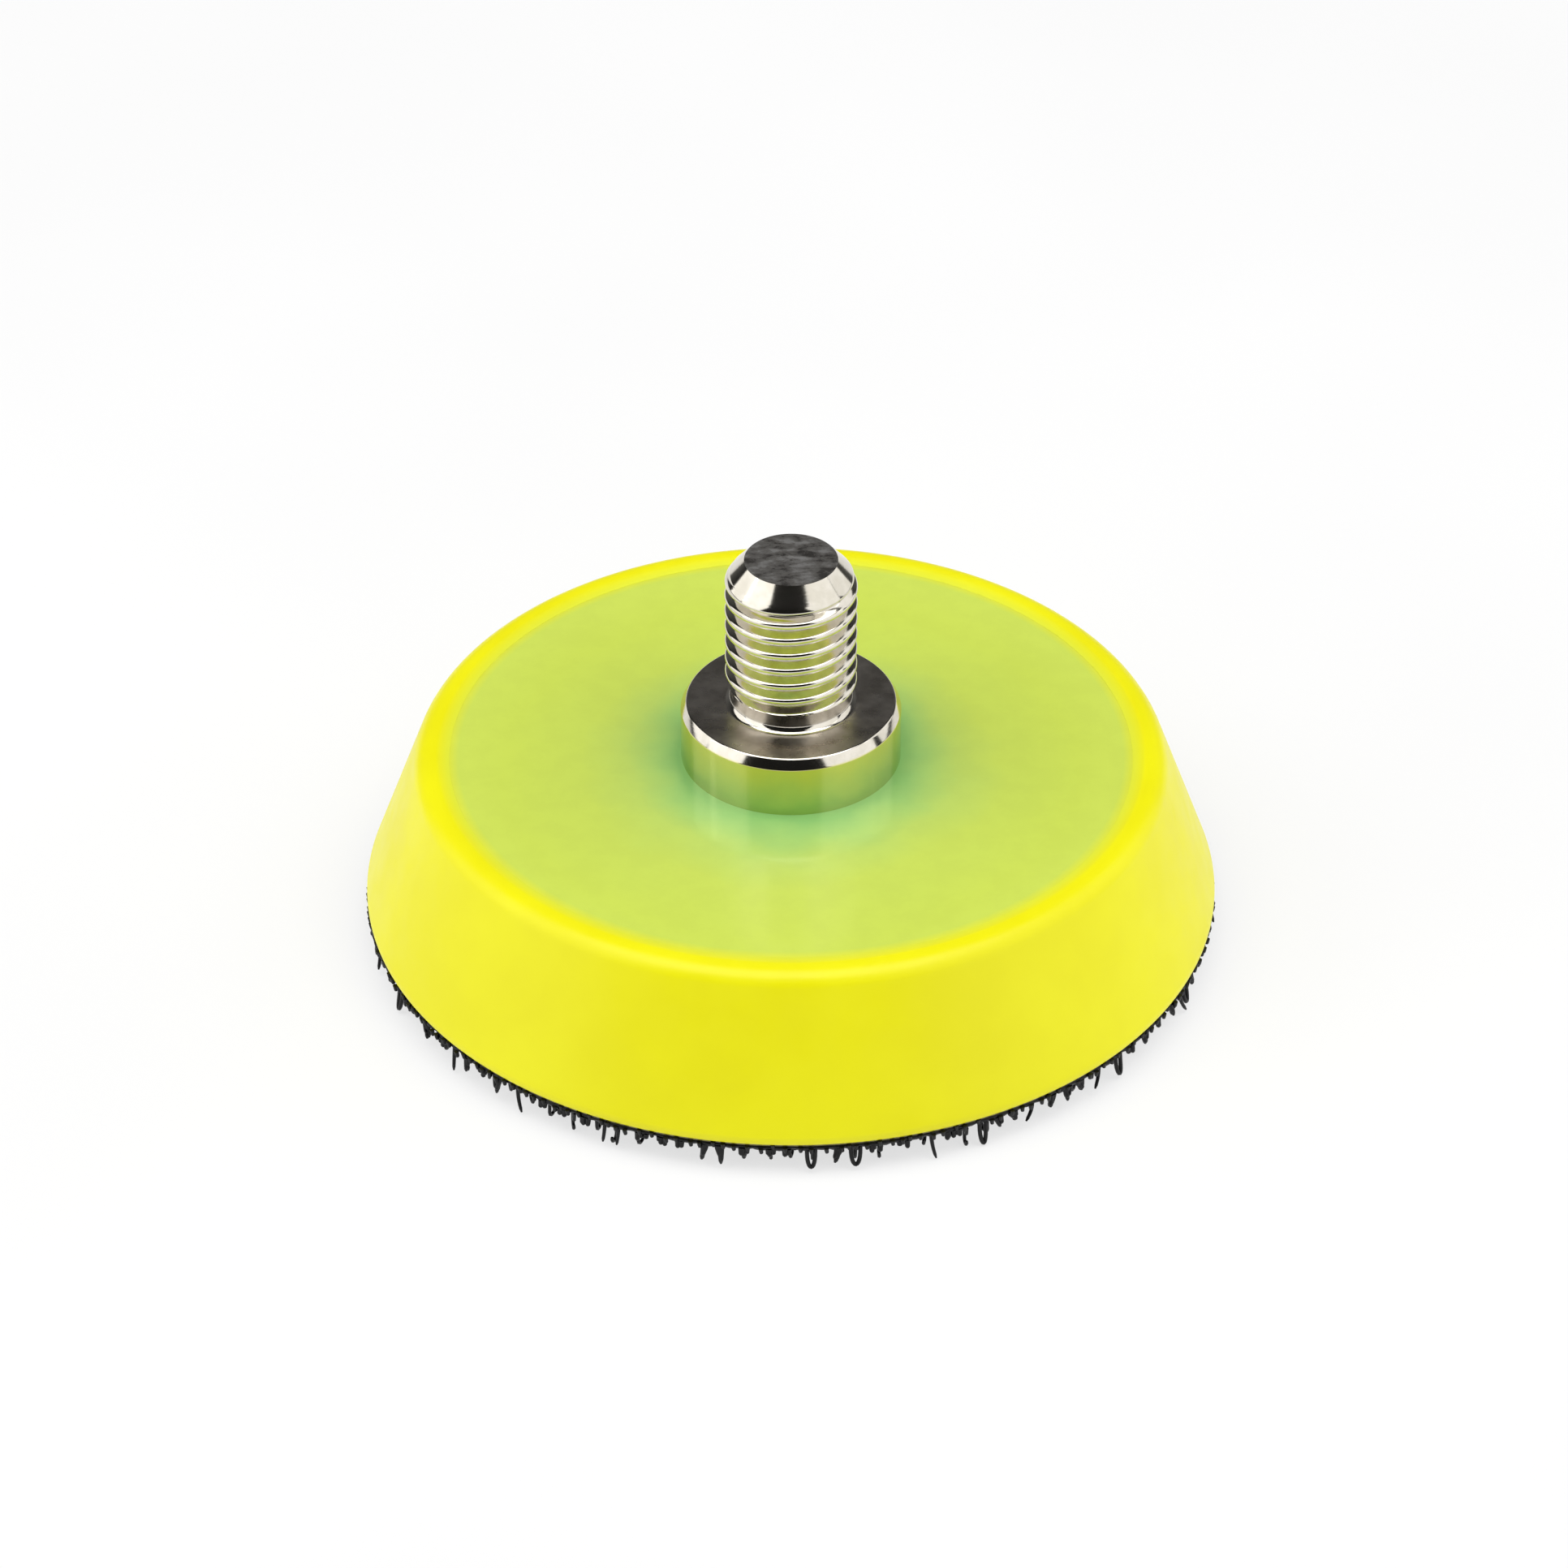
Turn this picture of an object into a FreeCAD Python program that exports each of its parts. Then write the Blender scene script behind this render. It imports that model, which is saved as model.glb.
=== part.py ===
import FreeCAD, Part
import Sketcher
import os

# Two-inch hook-and-loop backing pad with a 5/16-24 threaded stud.
# +Z runs up the stud. The origin is on the stud's axis, at the tips of the hooks.

SIZES = {
    # hook fastener, from the ground up
    "hook_height": 1.5,
    "tape_thickness": 0.4,
    "film_thickness": 0.1,
    "tape_radius": 25.2,
    # cast polyurethane body
    "rim_radius": 25.4,
    "rim_band": 0.5,
    "rim_rounding": 0.3,
    "shoulder_radius": 22.05,
    "shoulder_rounding": 1.0,
    "pad_height": 9.7,
    # glass-fibre plate, set just under the top of the body
    "plate_radius": 20.4,
    "plate_thickness": 2.4,
    "plate_recess": 0.15,
    "plate_edge": 0.15,
    # steel washer under the plate
    "washer_radius": 8.7,
    "washer_thickness": 1.5,
    # stud, below the plate's top face
    "hex_corner_radius": 4.6,
    "spigot_radius": 3.2,
    "rivet_radius": 4.6,
    "rivet_crown_radius": 3.6,
    "rivet_height": 1.3,
    "rivet_crown": 0.6,
    # stud, above the plate's top face
    "collar_radius": 6.5,
    "collar_height": 3.75,
    "collar_bevel_depth": 0.6,
    "collar_bevel_width": 0.36,
    "collar_bevel_rounding": 0.25,
    "neck_radius": 3.47,
    "neck_length": 1.15,
    "neck_rounding": 0.5,
    # 5/16-24 thread, cut right-handed
    "thread_radius": 3.88,
    "thread_length": 8.65,
    "thread_pitch": 1.0583,
    "thread_depth": 0.57,
    "thread_core": 3.1,
    "groove_root": 0.268,
    "groove_overrun": 0.08,
    "groove_mouth_overrun": 1.018,
    "groove_lead_in": 0.14,
    "groove_lead_out": 0.8,
    "start_bevel": 0.3,
    "tip_radius": 2.73,
    "tip_bevel": 1.3,
}

THREAD_SECTORS = 12

# Heights of the pieces, as the sheet's own cells added up.
TAPE_BOTTOM = "Sizes.hook_height"
FILM_BOTTOM = TAPE_BOTTOM + " + Sizes.tape_thickness"
PAD_BOTTOM = FILM_BOTTOM + " + Sizes.film_thickness"
PLATE_TOP = PAD_BOTTOM + " + Sizes.pad_height - Sizes.plate_recess"
PLATE_BOTTOM = PLATE_TOP + " - Sizes.plate_thickness"
WASHER_BOTTOM = PLATE_BOTTOM + " - Sizes.washer_thickness"

# How far below the tip its bevel reaches in to the thread's core.
CORE_BEVEL = (
    "(Sizes.thread_core - Sizes.tip_radius) * Sizes.tip_bevel"
    " / (Sizes.thread_radius - Sizes.tip_radius)"
)


def fill_sheet(doc):
    """Put each driving dimension in a cell of its own, under its own name."""
    sheet = doc.addObject("Spreadsheet::Sheet", "Sizes")
    for row, (name, size) in enumerate(SIZES.items(), start=1):
        sheet.set("A%d" % row, name)
        sheet.set("B%d" % row, str(size))
        sheet.setAlias("B%d" % row, name)
    doc.recompute()
    return sheet


def new_body(doc, label, height=None):
    """A sub-part, drawn from its own base and lifted to its height in the pad."""
    body = doc.addObject("PartDesign::Body", label)
    body.Label = label
    if height:
        body.setExpression("Placement.Base.z", height)
    doc.recompute()
    return body


def plane_of(body, role):
    """One of the sub-part's own base planes."""
    return next(f for f in body.Origin.OriginFeatures if f.Role == role)


def new_sketch(body, name, role):
    """An empty sketch on one of the sub-part's base planes."""
    sketch = body.newObject("Sketcher::SketchObject", name)
    sketch.AttachmentSupport = (plane_of(body, role), [""])
    sketch.MapMode = "FlatFace"
    return sketch


def measure(sketch, expression):
    """What an expression on the sheet's cells comes to."""
    return float(sketch.evalExpression(expression))


def constrain_coordinate(sketch, kind, line, expression, name):
    """Hold the start of a line at a distance from the sketch's origin."""
    index = sketch.addConstraint(
        Sketcher.Constraint(kind, -1, 1, line, 1, measure(sketch, expression))
    )
    sketch.renameConstraint(index, name)
    sketch.setExpression("Constraints." + name, expression)


def draw_outline(sketch, corners):
    """A closed outline through corners, each a pair of expressions: radius and height."""
    places = [
        FreeCAD.Vector(measure(sketch, radius), measure(sketch, height), 0)
        for radius, height in corners
    ]
    count = len(corners)
    for i in range(count):
        sketch.addGeometry(Part.LineSegment(places[i], places[(i + 1) % count]), False)
    for i in range(count):
        sketch.addConstraint(Sketcher.Constraint("Coincident", i, 2, (i + 1) % count, 1))
    for i, (radius, height) in enumerate(corners):
        if radius == "0":
            sketch.addConstraint(Sketcher.Constraint("PointOnObject", i, 1, -2))
        else:
            constrain_coordinate(sketch, "DistanceX", i, radius, "radius_%d" % i)
        if height == "0":
            sketch.addConstraint(Sketcher.Constraint("PointOnObject", i, 1, -1))
        else:
            constrain_coordinate(sketch, "DistanceY", i, height, "height_%d" % i)


def draw_circle(sketch, name, radius):
    """A circle about the sketch's origin."""
    circle = Part.Circle(
        FreeCAD.Vector(0, 0, 0), FreeCAD.Vector(0, 0, 1), measure(sketch, radius)
    )
    line = sketch.addGeometry(circle, False)
    sketch.addConstraint(Sketcher.Constraint("Coincident", line, 3, -1, 1))
    index = sketch.addConstraint(
        Sketcher.Constraint("Radius", line, measure(sketch, radius))
    )
    sketch.renameConstraint(index, name)
    sketch.setExpression("Constraints." + name, radius)


def revolve(body, name, corners, angle=360):
    """Turn an outline about the sub-part's upright axis."""
    sketch = new_sketch(body, name + "_outline", "XZ_Plane")
    draw_outline(sketch, corners)
    feature = body.newObject("PartDesign::Revolution", name)
    feature.Profile = sketch
    feature.ReferenceAxis = (sketch, ["V_Axis"])
    feature.Angle = angle
    feature.Refine = False
    body.Document.recompute()
    return feature


def pad_disc(body, name, radius, thickness, hole=None):
    """A flat disc standing on the sub-part's base, with a round hole if one is named."""
    sketch = new_sketch(body, name + "_outline", "XY_Plane")
    draw_circle(sketch, "outer", radius)
    if hole:
        draw_circle(sketch, "hole", hole)
    feature = body.newObject("PartDesign::Pad", name)
    feature.Profile = sketch
    feature.setExpression("Length", thickness)
    body.Document.recompute()
    return feature


def ring_edges(feature, radius, height):
    """Names of the round edges about the axis with this radius and this height."""
    names = []
    for number, edge in enumerate(feature.Shape.Edges, start=1):
        curve = edge.Curve
        if not isinstance(curve, Part.Circle):
            continue
        near_radius = abs(curve.Radius - radius) < 0.01
        near_height = abs(curve.Center.z - height) < 0.01
        if near_radius and near_height:
            names.append("Edge%d" % number)
    return names


def round_rings(body, name, feature, rings, size, kind="PartDesign::Fillet"):
    """Round or bevel the round edges at these radii and heights."""
    edges = []
    for radius, height in rings:
        edges += ring_edges(feature, measure(feature, radius), measure(feature, height))
    dressed = body.newObject(kind, name)
    dressed.Base = (feature, edges)
    dressed.setExpression("Radius" if kind.endswith("Fillet") else "Size", size)
    body.Document.recompute()
    return dressed


def make_hook_pile(doc):
    """The room that the nylon hooks fill, down to their tips."""
    body = new_body(doc, "hook_pile")
    pad_disc(body, "pile", "Sizes.tape_radius", "Sizes.hook_height")
    return body


def make_hook_tape(doc):
    """Woven ground of the hook fastener, which the hooks stand in."""
    body = new_body(doc, "hook_tape", TAPE_BOTTOM)
    pad_disc(body, "ground", "Sizes.tape_radius", "Sizes.tape_thickness")
    return body


def make_bond_film(doc):
    """Adhesive between the hook fastener and the polyurethane."""
    body = new_body(doc, "bond_film", FILM_BOTTOM)
    pad_disc(body, "film", "Sizes.tape_radius", "Sizes.film_thickness")
    return body


def rivet_outline(floor=""):
    """Corners of the rivet head's side, from its crown up to its seat, over a floor."""
    above = floor + " + " if floor else ""
    return [
        ("Sizes.rivet_crown_radius", floor or "0"),
        ("Sizes.rivet_radius", above + "Sizes.rivet_crown"),
        ("Sizes.rivet_radius", above + "Sizes.rivet_height"),
    ]


def make_pad_body(doc):
    """Tapered polyurethane, cast around the plate, the washer and the rivet head."""
    body = new_body(doc, "pad_body", PAD_BOTTOM)
    plate_seat = "Sizes.pad_height - Sizes.plate_recess - Sizes.plate_thickness"
    washer_seat = plate_seat + " - Sizes.washer_thickness"
    rivet_floor = washer_seat + " - Sizes.rivet_height"
    casting = revolve(
        body,
        "casting",
        [
            ("0", "0"),
            ("Sizes.rim_radius", "0"),
            ("Sizes.rim_radius", "Sizes.rim_band"),
            ("Sizes.shoulder_radius", "Sizes.pad_height"),
            ("Sizes.plate_radius", "Sizes.pad_height"),
            ("Sizes.plate_radius", plate_seat),
            ("Sizes.washer_radius", plate_seat),
            ("Sizes.washer_radius", washer_seat),
        ]
        + rivet_outline(rivet_floor)[::-1]
        + [("0", rivet_floor)],
    )
    shoulder = round_rings(
        body,
        "shoulder",
        casting,
        [("Sizes.shoulder_radius", "Sizes.pad_height")],
        "Sizes.shoulder_rounding",
    )
    round_rings(
        body,
        "rim_edge",
        shoulder,
        [("Sizes.rim_radius", "0")],
        "Sizes.rim_rounding",
    )
    return body


def add_hexagon(body, kind, name, height):
    """A six-sided prism about the sub-part's axis, added or cut away."""
    prism = body.newObject(kind, name)
    prism.Polygon = 6
    prism.setExpression("Circumradius", "Sizes.hex_corner_radius")
    prism.setExpression("Height", height)
    return prism


def make_stiffener_plate(doc):
    """Glass-fibre plate with a six-sided hole that keeps the stud from turning."""
    body = new_body(doc, "stiffener_plate", PLATE_BOTTOM)
    disc = pad_disc(body, "disc", "Sizes.plate_radius", "Sizes.plate_thickness")
    round_rings(
        body,
        "edge",
        disc,
        [("Sizes.plate_radius", "Sizes.plate_thickness")],
        "Sizes.plate_edge",
        kind="PartDesign::Chamfer",
    )
    add_hexagon(body, "PartDesign::SubtractivePrism", "stud_hole", "Sizes.plate_thickness")
    doc.recompute()
    return body


def make_support_washer(doc):
    """Steel washer that the stud is riveted over."""
    body = new_body(doc, "support_washer", WASHER_BOTTOM)
    pad_disc(
        body,
        "washer",
        "Sizes.washer_radius",
        "Sizes.washer_thickness",
        hole="Sizes.spigot_radius",
    )
    return body


def add_stud_blank(body):
    """Rivet head, spigot, collar, neck and thread core, turned in one piece."""
    spigot_top = "Sizes.rivet_height + Sizes.washer_thickness"
    collar_bottom = spigot_top + " + Sizes.plate_thickness"
    collar_top = collar_bottom + " + Sizes.collar_height"
    tip = collar_top + " + Sizes.neck_length + Sizes.thread_length"
    blank = revolve(
        body,
        "blank",
        [("0", "0")]
        + rivet_outline()
        + [
            ("Sizes.spigot_radius", "Sizes.rivet_height"),
            ("Sizes.spigot_radius", collar_bottom),
            ("Sizes.collar_radius", collar_bottom),
            ("Sizes.collar_radius", collar_top + " - Sizes.collar_bevel_depth"),
            ("Sizes.collar_radius - Sizes.collar_bevel_width", collar_top),
            ("Sizes.neck_radius", collar_top),
            ("Sizes.neck_radius", collar_top + " + Sizes.neck_length"),
            ("Sizes.thread_core", collar_top + " + Sizes.neck_length"),
            ("Sizes.thread_core", tip + " - " + CORE_BEVEL),
            ("Sizes.tip_radius", tip),
            ("0", tip),
        ],
    )
    return blank, collar_top, tip


def make_threaded_stud(doc):
    """Steel stud: riveted tail, six-sided shank, collar, relieved neck and thread."""
    body = new_body(doc, "threaded_stud", WASHER_BOTTOM + " - Sizes.rivet_height")
    blank, collar_top, tip = add_stud_blank(body)
    bevel = round_rings(
        body,
        "collar_edge",
        blank,
        [
            ("Sizes.collar_radius - Sizes.collar_bevel_width", collar_top),
            ("Sizes.collar_radius", collar_top + " - Sizes.collar_bevel_depth"),
        ],
        "Sizes.collar_bevel_rounding",
    )
    round_rings(
        body,
        "neck_root",
        bevel,
        [("Sizes.neck_radius", collar_top)],
        "Sizes.neck_rounding",
    )
    add_shank(body)
    add_thread(body, collar_top, tip)
    return body


def add_shank(body):
    """Six-sided shank through the plate."""
    shank = add_hexagon(
        body, "PartDesign::AdditivePrism", "shank", "Sizes.plate_thickness"
    )
    shank.AttachmentSupport = (plane_of(body, "XY_Plane"), [""])
    shank.MapMode = "FlatFace"
    shank.setExpression(
        "AttachmentOffset.Base.z", "Sizes.rivet_height + Sizes.washer_thickness"
    )
    shank.Refine = False
    body.Document.recompute()


def add_thread(body, collar_top, tip):
    """Full-size ring about the core, laid as equal sectors, with the groove wound up it."""
    start = collar_top + " + Sizes.neck_length"
    sector = revolve(
        body,
        "thread_sector",
        [
            ("Sizes.thread_core", start),
            ("Sizes.neck_radius", start),
            ("Sizes.thread_radius", start + " + Sizes.start_bevel"),
            ("Sizes.thread_radius", tip + " - Sizes.tip_bevel"),
            ("Sizes.thread_core", tip + " - " + CORE_BEVEL),
        ],
        angle=360 / THREAD_SECTORS,
    )
    ring = body.newObject("PartDesign::PolarPattern", "thread_blank")
    ring.Originals = [sector]
    ring.Axis = (sector.Profile[0], ["V_Axis"])
    ring.Angle = 360
    ring.Occurrences = THREAD_SECTORS
    ring.Refine = False
    body.Tip = ring
    body.Document.recompute()
    add_groove(body, start, tip)


def add_groove(body, start, tip):
    """Sixty-degree thread groove, wound from the neck and out past the tip."""
    centre = start + " - Sizes.groove_lead_in"
    outer = "Sizes.thread_radius + Sizes.groove_overrun"
    root = "Sizes.thread_radius - Sizes.thread_depth"
    profile = new_sketch(body, "groove_profile", "XZ_Plane")
    draw_outline(
        profile,
        [
            (outer, centre + " - Sizes.groove_mouth_overrun / 2"),
            (outer, centre + " + Sizes.groove_mouth_overrun / 2"),
            (root, centre + " + Sizes.groove_root / 2"),
            (root, centre + " - Sizes.groove_root / 2"),
        ],
    )
    groove = body.newObject("PartDesign::SubtractiveHelix", "groove")
    groove.Profile = profile
    groove.ReferenceAxis = (profile, ["V_Axis"])
    groove.Mode = "pitch-height-angle"
    groove.setExpression("Pitch", "Sizes.thread_pitch")
    height = "Sizes.thread_length + Sizes.groove_lead_in + Sizes.groove_lead_out"
    groove.setExpression("Height", height)
    groove.LeftHanded = False
    groove.Refine = False
    body.Document.recompute()


def check_document(doc, pieces):
    """Stop if a feature failed or a piece is not a sound solid."""
    for thing in doc.Objects:
        if "Invalid" in thing.State or "Error" in thing.State:
            raise RuntimeError("%s failed: %s" % (thing.Name, thing.State))
    for piece in pieces:
        shape = piece.Shape
        if shape.isNull() or not shape.isValid() or len(shape.Solids) != 1:
            raise RuntimeError("%s is not one sound solid" % piece.Label)


def main():
    doc = FreeCAD.newDocument("backing_pad")
    fill_sheet(doc)
    makers = [
        make_hook_pile,
        make_hook_tape,
        make_bond_film,
        make_pad_body,
        make_stiffener_plate,
        make_support_washer,
        make_threaded_stud,
    ]
    pieces = [make(doc) for make in makers]
    doc.recompute()
    check_document(doc, pieces)
    os.makedirs("parts", exist_ok=True)
    for piece in pieces:
        piece.Shape.exportStep("parts/%s.step" % piece.Label)
        box = piece.Shape.BoundBox
        print(
            "%-16s %9.1f mm3  z %6.2f to %6.2f  faces %d"
            % (piece.Label, piece.Shape.Volume, box.ZMin, box.ZMax, len(piece.Shape.Faces))
        )


main()
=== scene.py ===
import bmesh
import bpy
import math
import random
from mathutils import Matrix, Vector


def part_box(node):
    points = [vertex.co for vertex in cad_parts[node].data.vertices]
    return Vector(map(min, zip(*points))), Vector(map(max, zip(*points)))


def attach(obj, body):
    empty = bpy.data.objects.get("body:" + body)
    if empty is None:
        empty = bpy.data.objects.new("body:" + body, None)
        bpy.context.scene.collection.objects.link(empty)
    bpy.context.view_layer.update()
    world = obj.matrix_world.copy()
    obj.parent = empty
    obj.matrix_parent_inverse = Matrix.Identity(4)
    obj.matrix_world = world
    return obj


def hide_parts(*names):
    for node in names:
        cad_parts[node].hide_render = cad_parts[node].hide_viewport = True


# A two-inch hook-and-loop backing pad. Lengths below are in millimetres, and MM turns
# them into the frame's metres. The stud's axis is Z, and the hooks' tips are at z = 0.
MM = 0.001

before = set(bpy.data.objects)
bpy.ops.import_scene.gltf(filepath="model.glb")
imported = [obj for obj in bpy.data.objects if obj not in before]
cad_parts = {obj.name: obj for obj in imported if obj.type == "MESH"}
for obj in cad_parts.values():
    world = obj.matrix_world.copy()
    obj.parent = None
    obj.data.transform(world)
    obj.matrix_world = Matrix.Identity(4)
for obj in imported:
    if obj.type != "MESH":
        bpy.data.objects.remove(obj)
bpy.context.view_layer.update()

random_hooks = random.Random(11)
random_fringe = random.Random(29)
random_edge = random.Random(47)


def top_of(node):
    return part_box(node)[1].z / MM


def bottom_of(node):
    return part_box(node)[0].z / MM


def radius_of(node):
    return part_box(node)[1].x / MM


PAD_BOTTOM = bottom_of("pad_body")
PAD_TOP = top_of("pad_body")
RIM_RADIUS = radius_of("pad_body")
SHOULDER_RADIUS = 22.05
PLATE_RADIUS = radius_of("stiffener_plate")
PLATE_BOTTOM = bottom_of("stiffener_plate")
PLATE_TOP = top_of("stiffener_plate")
WASHER_RADIUS = radius_of("support_washer")
WASHER_BOTTOM = bottom_of("support_washer")
COLLAR_RADIUS = radius_of("threaded_stud")
STUD_BOTTOM = bottom_of("threaded_stud")
STUD_TOP = top_of("threaded_stud")
RIVET_RADIUS = 4.6
RIVET_CROWN_RADIUS = 3.6
RIVET_CROWN = 0.6
SPIGOT_RADIUS = 3.2
SHANK_CORNER_RADIUS = 4.6
COLLAR_TOP = 15.3
COLLAR_BEVEL_DEPTH = 0.6
COLLAR_BEVEL_WIDTH = 0.36
NECK_RADIUS = 3.47
THREAD_START = 16.45
THREAD_RADIUS = 3.88
THREAD_DEPTH = 0.60
THREAD_FLANK = math.radians(25)
THREAD_PITCH = 1.0583
THREAD_START_BEVEL = 0.3
TIP_RADIUS = 2.73
TIP_BEVEL = 1.3
TIP_DIMPLE_RADIUS = 0.16
TIP_DIMPLE_DEPTH = 0.06
GROOVE_ROOT = 0.16
GROOVE_LEAD_IN = 0.14
TAPE_RADIUS = radius_of("hook_tape")
TAPE_BOTTOM = bottom_of("hook_tape")
TAPE_TOP = top_of("hook_tape")
YARN_PITCH = 0.72
HOOK_SPACING = 1.25
HOOK_WIRE = 0.11
# The body laps a little over the plate, and there the colour of one runs into the other.
PLATE_OVERLAP = 0.2
PLATE_LIP_RADIUS = PLATE_RADIUS - PLATE_OVERLAP
PLATE_EDGE_TINT = (0.79, 0.84, 0.05)


# ---------------------------------------------------------------- mesh helpers


def weld(mesh, reach):
    """Join points that lie together and drop the empty faces between them."""
    shape = bmesh.new()
    shape.from_mesh(mesh)
    bmesh.ops.remove_doubles(shape, verts=shape.verts, dist=reach * MM)
    bmesh.ops.recalc_face_normals(shape, faces=shape.faces)
    shape.to_mesh(mesh)
    shape.free()


def new_piece(name, points, faces, material, sharp_degrees=40, weld_reach=0):
    """A mesh object from points in millimetres, shaded smooth up to its sharp edges."""
    mesh = bpy.data.meshes.new(name)
    mesh.from_pydata([tuple(c * MM for c in point) for point in points], [], faces)
    mesh.validate()
    if weld_reach:
        weld(mesh, weld_reach)
    mesh.shade_smooth()
    mesh.set_sharp_from_angle(angle=math.radians(sharp_degrees))
    mesh.materials.append(material)
    piece = bpy.data.objects.new(name, mesh)
    bpy.context.scene.collection.objects.link(piece)
    return piece


def rounded(corners, steps=10):
    """An outline through (radius, height, rounding) corners, with an arc at each rounded one."""
    points = []
    for i, (radius, height, rounding) in enumerate(corners):
        corner = Vector((radius, height))
        if not rounding:
            points.append(corner)
            continue
        before = (Vector(corners[i - 1][:2]) - corner).normalized()
        after = (Vector(corners[i + 1][:2]) - corner).normalized()
        half_angle = before.angle(after) / 2
        centre = corner + (before + after).normalized() * rounding / math.sin(half_angle)
        start = corner + before * rounding / math.tan(half_angle) - centre
        end = corner + after * rounding / math.tan(half_angle) - centre
        sweep = start.angle_signed(end)
        for step in range(steps + 1):
            turn = Matrix.Rotation(-sweep * step / steps, 2)
            points.append(centre + turn @ start)
    return points


def subdivided(outline, longest):
    """An outline with points added along its sides, no further apart than longest."""
    points = [outline[0]]
    for start, end in zip(outline, outline[1:]):
        pieces = math.ceil((end - start).length / longest)
        for piece in range(1, pieces + 1):
            points.append(start.lerp(end, piece / pieces))
    return points


def lathe(name, outline, material, segments=256, sharp_degrees=40):
    """A solid turned about Z from an outline that starts and ends on the axis."""
    points = [(0, 0, outline[0].y)]
    for place in outline[1:-1]:
        for k in range(segments):
            angle = 2 * math.pi * k / segments
            points.append((place.x * math.cos(angle), place.x * math.sin(angle), place.y))
    points.append((0, 0, outline[-1].y))
    last = len(points) - 1
    rings = len(outline) - 2
    faces = []
    for k in range(segments):
        following = (k + 1) % segments
        faces.append((0, 1 + following, 1 + k))
        for ring in range(rings - 1):
            low = 1 + ring * segments
            high = low + segments
            faces.append((low + k, low + following, high + following, high + k))
        top = 1 + (rings - 1) * segments
        faces.append((top + k, top + following, last))
    return new_piece(name, points, faces, material, sharp_degrees)


def directions_at(angle):
    """Outward from the stud's axis, and along the rim, at an angle round the pad."""
    outward = Vector((math.cos(angle), math.sin(angle), 0))
    along = Vector((-math.sin(angle), math.cos(angle), 0))
    return outward, along


class Strands:
    """Many short round strands gathered in one mesh."""

    def __init__(self, sides):
        self.sides = sides
        self.points = []
        self.faces = []

    def add(self, path, radii):
        """A closed strand along a path of points, with a radius for each."""
        first = len(self.points)
        across = None
        for i, place in enumerate(path):
            ahead = path[min(i + 1, len(path) - 1)] - path[max(i - 1, 0)]
            ahead.normalize()
            if across is None:
                across = ahead.orthogonal().normalized()
            across = (across - ahead * across.dot(ahead)).normalized()
            beside = ahead.cross(across)
            for side in range(self.sides):
                angle = 2 * math.pi * side / self.sides
                offset = across * math.cos(angle) + beside * math.sin(angle)
                self.points.append(tuple(place + offset * radii[i]))
        for ring in range(len(path) - 1):
            low = first + ring * self.sides
            for side in range(self.sides):
                following = (side + 1) % self.sides
                high = low + self.sides
                self.faces.append((low + side, low + following, high + following, high + side))
        self.faces.append(tuple(first + side for side in reversed(range(self.sides))))
        end = first + (len(path) - 1) * self.sides
        self.faces.append(tuple(end + side for side in range(self.sides)))

    def piece(self, name, material):
        return new_piece(name, self.points, self.faces, material, 75)


# ------------------------------------------------------------ material helpers


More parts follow.
